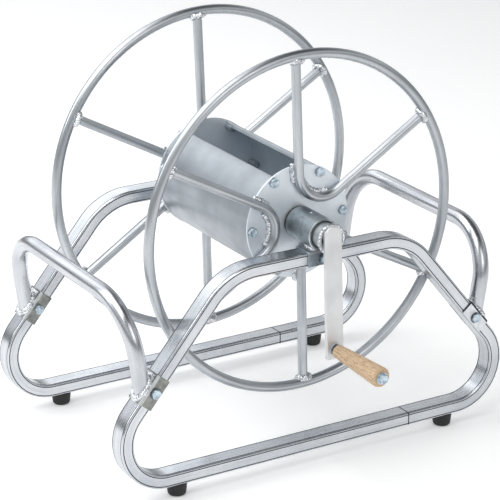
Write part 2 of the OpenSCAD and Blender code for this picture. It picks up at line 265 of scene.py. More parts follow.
def sheet_metal(name, light, dark, rough, depth=0.00003, stretch=(0.03, 1.2, 1.2)):
    """Rolled sheet: fine rolling marks, soft clouding and small scratches."""
    n = Nodes(name)
    fine = n.noise(n.place, 1.0, 4, 0.6, stretch)
    cloud = n.noise(n.place, 0.022, 4, 0.6)
    stripes = n.noise(n.place, 1.0, 2, 0.5, (0.035, 0.006, 0.006))
    grit = n.noise(n.world, 900.0, 2, 0.6)
    streaks = n.between(fine, 0.3, 0.7, 0.0, 0.25)
    tone = n.plus(streaks, n.between(cloud, 0.38, 0.66, 0.0, 0.6))
    tone = n.plus(tone, n.between(stripes, 0.4, 0.7, 0.0, 0.3))
    color = n.mix(n.times(tone, 0.8), light, dark)
    gloss = n.plus(n.between(fine, 0.25, 0.75, rough - 0.05, rough + 0.05),
                   n.between(cloud, 0.35, 0.7, -0.03, 0.08))
    height = n.plus(fine, n.times(grit, 0.6))
    return n.finish(color, gloss, height, depth, 0.7)


def worn_steel(name, light, dark, rough, metallic=1.0, depth=0.00008):
    """Dull steel sheet or pipe with a mottled, lightly worn surface."""
    n = Nodes(name)
    mottle = n.noise(n.world, 120.0, 5, 0.65)
    fine = n.noise(n.world, 900.0, 3, 0.6)
    wear = n.noise(n.world, 45.0, 3, 0.7)
    color = n.mix(n.between(mottle, 0.35, 0.65), light, dark)
    color = n.mix(n.between(wear, 0.58, 0.72, 0.0, 0.45), color, rgb(0.55, 0.54, 0.5))
    gloss = n.between(mottle, 0.3, 0.7, rough - 0.08, rough + 0.1)
    height = n.plus(mottle, n.times(fine, 0.4))
    return n.finish(color, gloss, height, depth, metallic)


def zinc_plate(name, light, dark, rough):
    """Bright zinc plate with a fine spangle."""
    n = Nodes(name)
    spangle = n.add("ShaderNodeTexVoronoi", {"Vector": n.world, "Scale": 700.0}).outputs["Distance"]
    mottle = n.noise(n.world, 260.0, 3, 0.6)
    color = n.mix(n.between(mottle, 0.35, 0.65), light, dark)
    gloss = n.between(spangle, 0.0, 0.6, rough - 0.06, rough + 0.1)
    return n.finish(color, gloss, mottle, 0.00005, 1.0)


def weld_metal():
    """Bright weld metal with soot and dark pits."""
    n = Nodes("weld_bead")
    lumps = n.noise(n.world, 700.0, 4, 0.65)
    soot = n.noise(n.world, 160.0, 3, 0.6)
    pits = n.noise(n.world, 380.0, 2, 0.5)
    color = n.mix(n.between(soot, 0.45, 0.7), rgb(0.86, 0.87, 0.89), rgb(0.50, 0.52, 0.55))
    color = n.mix(n.between(pits, 0.52, 0.62, 0.0, 0.8), color, rgb(0.22, 0.24, 0.27))
    return n.finish(color, n.between(lumps, 0.3, 0.7, 0.18, 0.36), lumps, 0.0003, 1.0)


def black_rubber():
    """Black rubber with a little dust."""
    n = Nodes("rubber_feet")
    grain = n.noise(n.world, 1400.0, 3, 0.6)
    dust = n.noise(n.world, 70.0, 4, 0.7)
    color = n.mix(n.between(dust, 0.45, 0.75, 0.0, 0.5),
                  rgb(0.012, 0.012, 0.013), rgb(0.045, 0.044, 0.042))
    return n.finish(color, n.between(dust, 0.3, 0.7, 0.55, 0.75), grain, 0.0001)


def dark_plastic(name, tone):
    """Plain plastic of a dark grey tone."""
    n = Nodes(name)
    grain = n.noise(n.world, 1100.0, 3, 0.6)
    cloud = n.noise(n.world, 40.0, 3, 0.6)
    color = n.mix(n.between(cloud, 0.35, 0.65), rgb(tone, tone, tone * 1.05),
                  rgb(tone * 1.6, tone * 1.6, tone * 1.6))
    return n.finish(color, n.between(grain, 0.3, 0.7, 0.4, 0.55), grain, 0.00006)


def beech():
    """Turned beech: growth rings about an axis off to one side, and short dark flecks."""
    n = Nodes("beech")
    bent = n.noise(n.place, 1.0, 2, 0.5, (0.012, 0.09, 0.09))
    split = n.add("ShaderNodeSeparateXYZ", {"Vector": n.place})
    off = n.plus(split.outputs[1], 17.0)
    height = n.plus(split.outputs[2], 9.0)
    squares = n.plus(n.times(off, off), n.times(height, height))
    radius = n.maths("SQRT", squares)
    wavy = n.plus(radius, n.times(bent, 7.0))
    rings = n.maths("SINE", n.times(wavy, 2.4))
    flecks = n.noise(n.place, 1.0, 3, 0.6, (0.12, 1.1, 1.1))
    fibres = n.noise(n.place, 1.0, 4, 0.65, (0.04, 0.6, 0.6))
    color = n.mix(n.between(rings, -0.9, 0.9), rgb(0.74, 0.56, 0.38), rgb(0.60, 0.43, 0.27))
    color = n.mix(n.between(fibres, 0.42, 0.62, 0.0, 0.75), color, rgb(0.46, 0.30, 0.17))
    color = n.mix(n.between(flecks, 0.55, 0.63, 0.0, 0.8), color, rgb(0.27, 0.15, 0.075))
    return n.finish(color, n.between(fibres, 0.3, 0.7, 0.42, 0.6), fibres, 0.00012)


def pale_floor():
    """A nearly white floor that glows a little, to stay white in the shade."""
    n = Nodes("floor")
    cloud = n.noise(n.world, 1.5, 3, 0.5)
    color = n.mix(n.between(cloud, 0.3, 0.7), rgb(0.95, 0.95, 0.945), rgb(0.93, 0.93, 0.93))
    n.set(n.shader.inputs["Emission Color"], color)
    n.shader.inputs["Emission Strength"].default_value = 0.22
    return n.finish(color, 0.9)


FRAME_METAL = drawn_metal("frame_tube", rgb(0.72, 0.735, 0.76), rgb(0.44, 0.47, 0.515), 0.22,
                          depth=0.00002, streak=0.22)
HANDLE_METAL = drawn_metal("handle_tube", rgb(0.66, 0.67, 0.695), rgb(0.40, 0.42, 0.455), 0.24)
FLANGE_METAL = drawn_metal("flange_tube", rgb(0.57, 0.595, 0.62), rgb(0.33, 0.355, 0.385), 0.30)
DRUM_METAL = sheet_metal("drum_sheet", rgb(0.41, 0.44, 0.475), rgb(0.29, 0.315, 0.345), 0.36)
# A lighter, rougher copy of the drum sheet for its inner faces: painted light that lifts the shade
# inside the drum.
PAINTED_LIGHT_INSIDE = sheet_metal("drum_inside_painted_light", rgb(0.80, 0.86, 0.92), rgb(0.66, 0.72, 0.78), 0.5)
PLATE_METAL = sheet_metal("end_plate", rgb(0.82, 0.87, 0.92), rgb(0.66, 0.71, 0.76), 0.42)
ARM_METAL = sheet_metal("crank_bar", rgb(0.76, 0.765, 0.775), rgb(0.62, 0.625, 0.635), 0.46,
                        depth=0.00006, stretch=(1.5, 1.5, 0.06))
SHAFT_METAL = sheet_metal("shaft_pipe", rgb(0.46, 0.49, 0.515), rgb(0.31, 0.335, 0.355), 0.34)
# Near-black metal, painted shade: in the frame's corner grooves, beside the seam, on bracket cut ends
# and on the rear brackets' folds.
PAINTED_SHADE_METAL = drawn_metal("painted_shade_metal", rgb(0.05, 0.056, 0.075), rgb(0.025, 0.029, 0.04), 0.5)
SADDLE_STEEL = worn_steel("saddle_steel", rgb(0.40, 0.455, 0.50), rgb(0.255, 0.30, 0.33), 0.40)
# A light copy of the worn steel: painted highlight on the folds of brackets and saddles and on the
# housing chamfers.
PAINTED_HIGHLIGHT_STEEL = worn_steel("painted_highlight_steel", rgb(0.74, 0.75, 0.76), rgb(0.56, 0.57, 0.58), 0.34)
# A lighter copy of the bracket steel for the rear brackets: painted light.
PAINTED_LIGHT_BRACKET = worn_steel("painted_light_bracket", rgb(0.86, 0.885, 0.92), rgb(0.68, 0.70, 0.73), 0.42,
                           metallic=0.45)
BRACKET_STEEL = worn_steel("bracket_steel", rgb(0.35, 0.36, 0.34), rgb(0.205, 0.212, 0.198), 0.42)
HOUSING_STEEL = worn_steel("housing_steel", rgb(0.40, 0.45, 0.48), rgb(0.28, 0.315, 0.335), 0.40,
                           depth=0.00004)
ZINC = zinc_plate("zinc", rgb(0.66, 0.76, 0.84), rgb(0.44, 0.53, 0.60), 0.24)
# A dark copy of the zinc: painted shade on washers under bolt heads and on the grip's outer nut.
PAINTED_SHADE_ZINC = zinc_plate("painted_shade_zinc", rgb(0.20, 0.22, 0.24), rgb(0.10, 0.11, 0.12), 0.35)
WELD = weld_metal()
RUBBER = black_rubber()
# Near-black plastic for the bushes and thrust washers; its dark also stands as painted shade in the gaps
# round the shaft.
BLACK_BUSH_AND_SHADE = dark_plastic("bush_and_painted_shade", 0.03)
CAP = dark_plastic("cap_plastic", 0.018)
WOOD = beech()


# -------- mesh building
def in_scene(name, data):
    """A new object in the scene."""
    thing = bpy.data.objects.new(name, data)
    bpy.context.scene.collection.objects.link(thing)
    return thing


def piece(name, shape, place, body, material, cad=(), bevel=0.0, sharp=38):
    """A mesh object from (points, faces, grain), placed by a matrix that also turns mm into metres.

    The grain gives each point's place in the metal's streaks."""
    points, faces, grain = shape
    mesh = bpy.data.meshes.new(name)
    mesh.from_pydata([place @ Vector(p) for p in points], [], faces)
    attribute = mesh.attributes.new("grain", "FLOAT_VECTOR", "POINT")
    for item, value in zip(attribute.data, grain or points):
        item.vector = value
    work = bmesh.new()
    work.from_mesh(mesh)
    bmesh.ops.recalc_face_normals(work, faces=work.faces)
    work.to_mesh(mesh)
    work.free()
    mesh.shade_smooth()
    mesh.set_sharp_from_angle(angle=math.radians(sharp))
    mesh.materials.append(material)
    thing = in_scene(name, mesh)
    if bevel:
        edge = thing.modifiers.new("edges", "BEVEL")
        edge.width = bevel * MM
        edge.segments = 2
        edge.limit_method = "ANGLE"
        edge.angle_limit = math.radians(40)
    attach(thing, body)
    if cad:
        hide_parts(*([cad] if isinstance(cad, str) else cad))
    return thing


def finish_faces(thing, material, chosen):
    """Gives the chosen faces of a piece another material."""
    thing.data.materials.append(material)
    for face in thing.data.polygons:
        if chosen(face):
            face.material_index = len(thing.data.materials) - 1


def joined(*shapes):
    """Several shapes as one."""
    points, faces, grain = [], [], []
    for p, f, g in shapes:
        base = len(points)
        points += list(p)
        grain += list(g or p)
        faces += [[i + base for i in face] for face in f]
    return points, faces, grain


def moved(shape, matrix):
    """The same shape, placed by a matrix, with its grain unchanged."""
    points, faces, grain = shape
    return [matrix @ Vector(p) for p in points], faces, grain or points


def bands(rows, count, closed_rows=False):
    """Faces between rings of `count` points each, capped unless the rows close on themselves."""
    faces = []
    for i in range(rows if closed_rows else rows - 1):
        low, high = i * count, (i + 1) % rows * count
        for k in range(count):
            after = (k + 1) % count
            faces.append([low + k, low + after, high + after, high + k])
    if not closed_rows:
        faces.append(list(range(count))[::-1])
        faces.append(list(range((rows - 1) * count, rows * count)))
    return faces


def bent_path(steps, start, ahead, left):
    """Stations (point, left, up, length so far) along straights [l] and left bends [radius, radians]."""
    degrees_per_station = 3.0
    point, ahead, left = Vector(start), Vector(ahead).normalized(), Vector(left).normalized()
    up = ahead.cross(left)
    along = 0.0
    stations = [(point.copy(), left.copy(), up, along)]
    for step in steps:
        if len(step) == 1:
            point = point + ahead * step[0]
            along += step[0]
            stations.append((point.copy(), left.copy(), up, along))
            continue
        radius, angle = step
        centre = point + left * radius
        count = max(2, round(math.degrees(angle) / degrees_per_station))
        turn = Matrix.Rotation(angle / count, 3, up)
        for _ in range(count):
            point = centre + turn @ (point - centre)
            ahead = turn @ ahead
            left = turn @ left
            along += radius * angle / count
            stations.append((point.copy(), left.copy(), up, along))
    return stations


def swept(stations, section, closed=False):
    """A tube whose section has (left, up) points, along the stations."""
    points, grain = [], []
    for point, left, up, along in stations:
        for a, b in section:
            points.append(point + left * a + up * b)
            grain.append((along, a, b))
    return points, bands(len(stations), len(section), closed), grain


def polar(radius, angle):
    return radius * math.cos(angle), radius * math.sin(angle)


def circle(radius, count=28):
    """The round section of a tube."""
    return [polar(radius, 2 * math.pi * k / count) for k in range(count)]


def arc_points(centre_a, centre_b, radius, first, last, count):
    """Points on an arc between two directions in degrees."""
    points = []
    for k in range(count + 1):
        a, b = polar(radius, math.radians(first + (last - first) * k / count))
        points.append((centre_a + a, centre_b + b))
    return points


def grooved_rect(height, width, radius):
    """A rectangle with round corners and a fine groove at each end of every corner."""
    points = []
    for sx, sy, first in ((1, 1, 0), (-1, 1, 90), (-1, -1, 180), (1, -1, 270)):
        centre = Vector((sx * (height / 2 - radius), sy * (width / 2 - radius)))
        grooves = []
        for degrees, side in ((first, -1), (first + 90, 1)):
            angle = math.radians(degrees)
            away = Vector(polar(1, angle))
            run = Vector((-math.sin(angle), math.cos(angle))) * side
            rim = centre + away * radius
            grooves.append([tuple(rim + run * groove_w),
                            tuple(rim + run * groove_w / 2 - away * groove_d)])
        points += grooves[0]
        points += arc_points(centre.x, centre.y, radius, first, first + 90, 6)
        points += grooves[1][::-1]
    return points


def around_x(rings):
    """Points round X from rings of (x, radius)."""
    return [(x, *polar(r, 2 * math.pi * k / len(ring)))
            for ring in rings for k, (x, r) in enumerate(ring)]


def lathed(profile, count=48, closed=True):
    """A turned shape about X from (x, radius) points; closed joins the last point to the first."""
    return around_x([[place] * count for place in profile]), bands(len(profile), count, closed), None


def chamfered_ring(x0, x1, outer, inner, cut):
    """The profile of a ring whose outer edges are chamfered."""
    return [(x0, inner), (x0, outer - cut), (x0 + cut, outer), (x1 - cut, outer), (x1, outer - cut),
            (x1, inner)]


def hexagon(x0, x1, chamfer_low=False, bore=0.0):
    """A hexagonal head or nut with chamfered corners, and a bore or else a dished top."""
    count = 48
    flat_r = flats_w / 2 * 0.95
    dish_r, dish_low_r, dish_depth = flat_r * 0.86, flat_r * 0.80, 0.25
    bore_cut = 0.5

    def side_r(k):
        turn = (360.0 * k / count + 30) % 60 - 30
        return flats_w / 2 / math.cos(math.radians(turn))

    drop = [(side_r(k) - flat_r) * math.tan(math.radians(30)) for k in range(count)]
    rows = []
    if chamfer_low:
        rows.append([(x0, flat_r)] * count)
        rows.append([(x0 + drop[k], side_r(k)) for k in range(count)])
    else:
        rows.append([(x0, side_r(k)) for k in range(count)])
    rows.append([(x1 - drop[k], side_r(k)) for k in range(count)])
    rows.append([(x1, flat_r)] * count)
    if bore:
        rows.append([(x1, bore + bore_cut)] * count)
        rows.append([(x1 - bore_cut, bore)] * count)
        rows.append([(x0 + bore_cut, bore)] * count)
        rows.append([(x0, bore + bore_cut)] * count)
    else:
        rows.append([(x1, dish_r)] * count)
        rows.append([(x1 - dish_depth, dish_low_r)] * count)
    return around_x(rows), bands(len(rows), count, bool(bore)), None


def thread_end(tip):
    """The end of an M8 thread that points along -X, with its tip at the given x and chamfered."""
    count, chamfer = 20, 0.8
    low, high = -tip - thread_l, -tip
    steps = int(thread_l / thread_pitch * 6)
    depth = thread_pitch * 0.55
    rings = []
    for i in range(steps + 1):
        x = low + (high - low) * i / steps
        taper = min(1.0, (high - x) / chamfer)
        ring = []
        for k in range(count):
            phase = (x / thread_pitch - k / count) % 1.0
            r = thread_r - depth * abs(2 * phase - 1) * 0.9
            ring.append((x, min(r, thread_r - depth + depth * taper)))
        rings.append(ring)
    ahead = around_x(rings), bands(len(rings), count), None
    return moved(ahead, Matrix.Diagonal((-1, 1, 1, 1)))


def shank(x0, x1, count=24):
    """The plain shank of an M8 bolt."""
    return lathed([(x0, shank_r), (x1, shank_r)], count, False)


def resampled(points, outs, gap, closed):
    """Evenly spaced points along a polyline, with their outward directions."""
    if closed:
        points, outs = points + points[:1], outs + outs[:1]
    lengths = [0.0]
    for a, b in zip(points, points[1:]):
        lengths.append(lengths[-1] + (b - a).length)
    total = lengths[-1]
    count = max(4, round(total / gap))
    made, i = [], 0
    for k in range(count if closed else count + 1):
        s = total * k / count
        while i < len(lengths) - 2 and lengths[i + 1] < s:
            i += 1
        t = (s - lengths[i]) / max(1e-9, lengths[i + 1] - lengths[i])
        out = outs[i].lerp(outs[i + 1], t).normalized()
        made.append((points[i].lerp(points[i + 1], t), out, s))
    return made, total


def bead(points, outs, half_w, half_h, closed=False, pitch=2.3, seed=0.0):
    """A weld bead: overlapping crescent ripples along a line, rounded off at open ends."""
    gap = 0.6
    stations, total = resampled([Vector(p) for p in points], [Vector(o) for o in outs], gap, closed)
    rows, count = len(stations), 12
    made = []
    for i, (point, out, s) in enumerate(stations):
        after = stations[(i + 1) % rows] if closed else stations[min(i + 1, rows - 1)]
        before = stations[i - 1] if closed or i else stations[0]
        ahead = (after[0] - before[0]).normalized()
        side = ahead.cross(out).normalized()
        out = side.cross(ahead)
        end = 1.0
        if not closed:
            near = min(s, total - s) / half_w
            end = math.sqrt(max(0.02, 1 - (1 - min(near, 1.0)) ** 2))
        wander = noise.noise(Vector((s * 0.16, seed, 3.1)))
        for k in range(count):
            angle = 2 * math.pi * k / count
            across = math.cos(angle)
            phase = (s + 1.3 * across * across) / pitch
            ripple = 0.5 + 0.5 * math.cos(2 * math.pi * phase)
            lump = noise.noise(Vector((s * 0.5, across * 1.5 + seed, math.sin(angle))))
            size = end * (0.92 + 0.15 * ripple + 0.22 * wander + 0.16 * lump)
            rise = math.sin(angle) * half_h * size
            made.append(point + side * (across * half_w * size) + out * rise)
    return made, bands(rows, count, closed), None


# -------- side frames
def frame_loop():
    """Stations round the right side frame, from one side of its seam to the other."""
    before = rail_l / 2 - seam_y - seam_gap / 2
    after = rail_l / 2 + seam_y - seam_gap / 2
    steps = [[seam_shade_l], [before - seam_shade_l], [base_bend_r, math.pi - leg_angle], [leg_l],
             [arch_bend_r, leg_angle], [2 * arch_end_y], [arch_bend_r, leg_angle], [leg_l],
             [base_bend_r, math.pi - leg_angle], [after - seam_shade_l], [seam_shade_l]]
    start = (frame_mid, seam_y + seam_gap / 2, rail_z)
    return bent_path(steps, start, (0, 1, 0), (0, 0, 1))


def side_frames():
    """The two bent tubes, with painted shade in the grooves and on the ends at the seam."""
    section = grooved_rect(tube_h, tube_w, corner_r)
    stations = frame_loop()
    shape = swept(stations, section)
    per_corner = len(section) // 4
    in_groove = (0, 1, per_corner - 3, per_corner - 2)
    at_seam = (0, len(stations) - 2)
    for side, mirror in SIDES.items():
        tube = piece(f"{side}_frame_tube", shape, ON_FLOOR @ mirror, "frame", FRAME_METAL,
                     f"{side}_side_frame", sharp=25)
        # Painted shade: near-black faces in the corner grooves and beside the seam.
        finish_faces(tube, PAINTED_SHADE_METAL, lambda face: face.index % per_corner in in_groove
                      or face.index // len(section) in at_seam)


# -------- handles
# The direction out of a front leg's outer face, and the middle of its bracket's top
leg_out = Vector((0, -math.sin(leg_angle), math.cos(leg_angle)))
leg_top = Vector((frame_mid, -bracket_y, bracket_z)) + leg_out * (tube_h / 2 + bracket_t)
handle_up = Vector((0, -math.sin(handle_lean), math.cos(handle_lean)))


def onto_leg(point, sink=0.0):
    """Slides a point along the handle's own direction onto the top of the bracket."""
    off = (leg_top - leg_out * sink - point).dot(leg_out) / handle_up.dot(leg_out)
    return point + handle_up * off


def handles():
    """The two U-shaped handles and the welds round their ends."""
    corner = Vector((frame_mid, -handle_y, rail_z + handle_rise))
    start = corner - handle_up * (handle_bend_r + handle_leg)
    quarter = math.pi / 2
    steps = [[handle_leg], [handle_bend_r, quarter], [2 * (frame_mid - handle_bend_r)],
             [handle_bend_r, quarter], [handle_leg]]
    stations = bent_path(steps, start, handle_up, (-1, 0, 0))
    section = circle(handle_d / 2, 36)
    points, faces, grain = swept(stations, section)
    count = len(section)
    for k in list(range(count)) + list(range(len(points) - count, len(points))):
        points[k] = onto_leg(points[k], sink=0.6)
    foot = [onto_leg(Vector(p)) for p in points[:count]]
    middle = sum(foot, Vector()) / count
    outs = [((p - middle).normalized() + leg_out * 0.9).normalized() for p in foot]
    ring = [p + (p - middle).normalized() * 1.2 + leg_out * 0.6 for p in foot]
    for end, flip in ENDS.items():
        piece(f"{end}_handle_tube", (points, faces, grain), ON_FLOOR @ flip, "frame", HANDLE_METAL,
              f"{end}_handle")
        for side, mirror in SIDES.items():
            seed = (1.0 if end == "front" else 5.0) + (2 if side == "left" else 0)
            weld = bead(ring, outs, half_w=4.6, half_h=3.8, closed=True, pitch=3.2, seed=seed)
            piece(f"{end}_{side}_handle_weld", weld, ON_FLOOR @ mirror @ flip, "frame", WELD)


# -------- brackets and saddles
def folded_clip(length):
    """Sheet folded over three sides of a tube: x across the tube, y along it, z out of its top."""
    inner, outer = fold_r, fold_r + bracket_t
    half = tube_w / 2 + bracket_t
    top = tube_h / 2 + bracket_t
    right = [(half, -tube_h / 2)] + arc_points(half - outer, top - outer, outer, 0, 90, 6)
    left = [(-x, z) for x, z in reversed(right)]
    back_right = [(tube_w / 2, -tube_h / 2)]
    back_right += arc_points(tube_w / 2 - inner, tube_h / 2 - inner, inner, 0, 90, 3)
    back_left = [(-x, z) for x, z in back_right]
    outline = right + left + back_left + back_right[::-1]
    points = [(x, y, z) for y in (-length / 2, length / 2) for x, z in outline]
    return points, bands(2, len(outline)), None


def weld_pad(length, width, top, seed):
    """Lumpy weld metal over a flat top: x across the tube, y along it."""
    cell, slope_w, lump_l, wave_l, sunk = 0.8, 2.5, 3.6, 7.0, 0.3
    rows, across = int(length / cell), int(width / cell)
    points = []
    for i in range(rows + 1):
        y = length * (i / rows - 0.5)
        for k in range(across + 1):
            x = width * (k / across - 0.5)
            rim = min(length / 2 - abs(y), width / 2 - abs(x), slope_w) / slope_w
            nearest = noise.voronoi(Vector((x / lump_l + seed, y / lump_l, seed)))[0][0]
            lump = 1.0 - min(1.0, nearest * 1.5)
            wave = 0.5 + 0.5 * noise.noise(Vector((x / wave_l, y / wave_l, seed + 4.0)))
            points.append((x, y, top - sunk + math.sqrt(rim) * (0.5 + 1.5 * lump * wave)))
        points.append((width / 2, y, top - 0.8))
        points.append((-width / 2, y, top - 0.8))
    return points, bands(rows + 1, across + 3), None


def on_leg():
    """A front bracket's frame: x across the tube, y up the leg, z out of its outer face."""
    turn = Matrix.Rotation(leg_angle, 4, "X")
    return Matrix.Translation((frame_mid, -bracket_y, bracket_z)) @ turn


def finish_folds(clip, place, material):
    """Gives the rounded folds of a clip their own material, which paints a highlight or shade on them.
    """
    up = (place.to_3x3() @ Vector((0, 0, 1))).normalized()
    finish_faces(clip, material, lambda face: 0.1 < face.normal.dot(up) < 0.97)


def brackets():
    """The four folded brackets, with painted shade on their cut ends, and the weld metal on them."""
    for end, flip in ENDS.items():
        # Front brackets get a painted highlight on their folds; rear brackets get the painted-light copy
        # of the steel, with painted shade on their folds.
        steel, folds, seed = BRACKET_STEEL, PAINTED_HIGHLIGHT_STEEL, 2.0
        if end == "rear":
            steel, folds, seed = PAINTED_LIGHT_BRACKET, PAINTED_SHADE_METAL, 7.0
        for side, mirror in SIDES.items():
            place = ON_FLOOR @ mirror @ flip @ on_leg()
            clip = piece(f"{end}_{side}_clip", folded_clip(bracket_l), place, "frame", steel,
                         f"{end}_{side}_bracket", bevel=0.5)
            finish_folds(clip, place, folds)
            along = (place.to_3x3() @ Vector((0, 1, 0))).normalized()
            # Painted shade on the clip's cut ends.
            finish_faces(clip, PAINTED_SHADE_METAL, lambda face: abs(face.normal.dot(along)) > 0.97)
            pad = weld_pad(bracket_l - 4, tube_w - 6, tube_h / 2 + bracket_t, seed)
            piece(f"{end}_{side}_weld_pad", pad, place, "frame", WELD)


def saddles():
    """The folded saddle on each arch, and the weld between it and the bearing housing."""
    top = arch_z + tube_h / 2 + bracket_t
    half_gap = math.sqrt(housing_r ** 2 - (axle_z - top) ** 2)
    pad_l = saddle_l / 2 - half_gap - 3
    weld_y, weld_z = half_gap + 1.6, top + 1.0
    for side, mirror in SIDES.items():
        place = ON_FLOOR @ mirror @ Matrix.Translation((frame_mid, 0, arch_z))
        clip = piece(f"{side}_saddle_clip", folded_clip(saddle_l), place, "frame", SADDLE_STEEL,
                     f"{side}_saddle", bevel=0.5)
        # Painted highlight on the saddle's folds.
        finish_folds(clip, place, PAINTED_HIGHLIGHT_STEEL)
        beads = []
        for s in (-1, 1):
            line = [(frame_mid - tube_w / 2 - 1, s * weld_y, weld_z),
                    (housing_out - 1.5, s * weld_y, weld_z)]
            beads.append(bead(line, [(0, s * 0.7, 0.7)] * 2, half_w=4.4, half_h=3.4, seed=s * 4.0))
            pad = weld_pad(pad_l, tube_w - 4, top, 3.0 + s)
            beads.append(moved(pad, Matrix.Translation((frame_mid, s * (half_gap + pad_l / 2), 0))))
        piece(f"{side}_saddle_weld", joined(*beads), ON_FLOOR @ mirror, "frame", WELD)


def frame_bolts():
    """The hexagon bolts through brackets and saddles, with their nuts and thread ends."""
    places = {"front": (-bracket_y, bracket_z), "rear": (bracket_y, bracket_z), "arch": (0, arch_z)}
    outer = frame_mid + tube_w / 2 + bracket_t
    inner = frame_mid - tube_w / 2 - bracket_t
    turns = {"front": 17, "rear": 41, "arch": 8}
    washer_t, washer_r = 1.0, 8.5
    for side, mirror in SIDES.items():
        for where, (y, z) in places.items():
            place = ON_FLOOR @ mirror @ Matrix.Translation((0, y, z)) @ turned(turns[where])
            head = joined(lathed(chamfered_ring(outer, outer + washer_t, washer_r, 3.9, 0.3)),
                          hexagon(outer + washer_t, outer + head_h),
                          shank(inner - shank_past, outer + 1.2),
                          thread_end(inner - tip_past))
            bolt = piece(f"{where}_{side}_bolt", head, place, "frame", ZINC, "bracket_bolts")
            # Painted shade: the washer under each head gets the dark zinc.
            finish_faces(bolt, PAINTED_SHADE_ZINC,
                         lambda face: -0.05 < abs(face.center.x - axle.x) / MM - outer < washer_t + 0.01)
            nut = hexagon(inner - nut_h, inner, True, shank_r)
            piece(f"{where}_{side}_nut", nut, place, "frame", ZINC, "bracket_nuts")


# -------- bearings
def bearings():
    """The bearing housings, with a painted highlight on the chamfers, and the ball oiler on each."""
    for side, mirror in SIDES.items():
        place = ON_FLOOR @ mirror @ Matrix.Translation((0, 0, axle_z))
        profile = chamfered_ring(housing_in, housing_out, housing_r, housing_bore_r, 1.0)
        pipe = piece(f"{side}_housing_pipe", lathed(profile, 72), place, "frame", HOUSING_STEEL,
                     f"{side}_bearing_housing")
        # Painted highlight on the housing's chamfers.
        finish_faces(pipe, PAINTED_HIGHLIGHT_STEEL, lambda face: 0.3 < abs(face.normal.x) < 0.9)
        ball = [(housing_bore_r, 0.01), (housing_bore_r, 2.9), (housing_r - 0.1, 2.9),
                (housing_r + 0.35, 2.4), (housing_r + 0.35, 1.7), (housing_r + 0.1, 1.4),
                (housing_r + 0.55, 0.8), (housing_r + 0.7, 0.01)]
        place = place @ Matrix.Translation((oil_x, 0, 0)) @ UPRIGHT
        piece(f"{side}_oiler", lathed(ball, 24, False), place, "frame", ZINC, "ball_oilers")


# -------- feet
def feet():
    """The four rubber feet: rounded below, with a moulded rim near the top."""
    r_top, r_low, round_r = 15.0, 13.5, 4.5
    profile = [(0.0, 0.01), (0.0, r_low - round_r)]
    profile += arc_points(round_r, r_low - round_r, round_r, 165, 90, 5)
    profile += [(foot_h * 0.55, (r_top + r_low) / 2), (foot_h - 3.2, r_top - 0.15),
                (foot_h - 2.6, r_top), (foot_h - 0.5, r_top), (foot_h, r_top - 0.5), (foot_h, 0.01)]
    foot_y = span("rubber_feet")[1].y - r_top
    for side, mirror in SIDES.items():
        for end, flip in ENDS.items():
            place = ON_FLOOR @ mirror @ flip @ Matrix.Translation((frame_mid, -foot_y, 0))
            piece(f"{end}_{side}_foot", lathed(profile, 40, False), place @ UPRIGHT, "frame", RUBBER,
                  "rubber_feet")


# -------- drum
def shell_outline(depth):
    """The shell's outline in (y, z), with folded edges of the given depth."""
    mid_r = shell_r - shell_t / 2
    fold = 2.2
    edge = math.pi / 2 + opening_half
    away = Vector((math.cos(edge), math.sin(edge)))
    aside = Vector((-math.sin(edge), math.cos(edge)))
    line = [away * (shell_r - depth) + aside * shell_t / 2, away * (mid_r - fold) + aside * shell_t / 2]
    corner = away * (mid_r - fold) + aside * (shell_t / 2 + fold)
    for turn in (22, 45, 68):
        a = math.radians(turn)
        line.append(corner - aside * fold * math.cos(a) + away * fold * math.sin(a))
    first = edge + (shell_t / 2 + fold) / mid_r
    half = 60
    last = math.pi * 1.5
    line += [Vector(polar(mid_r, first + (last - first) * k / half)) for k in range(half + 1)]
    line += [Vector((-v.x, v.y)) for v in reversed(line[:-1])]
    offset = []
    for i, v in enumerate(line):
        ahead = (line[min(i + 1, len(line) - 1)] - line[max(i - 1, 0)]).normalized()
        offset.append(Vector((-ahead.y, ahead.x)) * shell_t / 2)
    outline = [tuple(v + o) for v, o in zip(line, offset)]
    return outline + [tuple(v - o) for v, o in reversed(list(zip(line, offset)))]


def drum_shell():
    """The rolled sheet, whose opening has folded lips between the bosses."""
    lip_end = plate_in - boss_l - 1.5
    step = 0.1
    shallow, deep = shell_outline(plain_edge), shell_outline(lip)
    rows = [(-plate_in, shallow), (-lip_end - step, shallow), (-lip_end, deep), (lip_end, deep),
            (lip_end + step, shallow), (plate_in, shallow)]
    points = [(x, y, z) for x, outline in rows for y, z in outline]
    shape = points, bands(len(rows), len(deep)), None
    shell = piece("drum_sheet_shell", shape, ON_DRUM, "drum", DRUM_METAL, "drum_shell")
    # Painted light: the inner faces get a lighter copy of the sheet, lifting the shade inside the drum.
    inward = -0.3 * shell_r * MM
    finish_faces(shell, PAINTED_LIGHT_INSIDE, lambda face: face.normal.dot(face.center - axle) < inward)


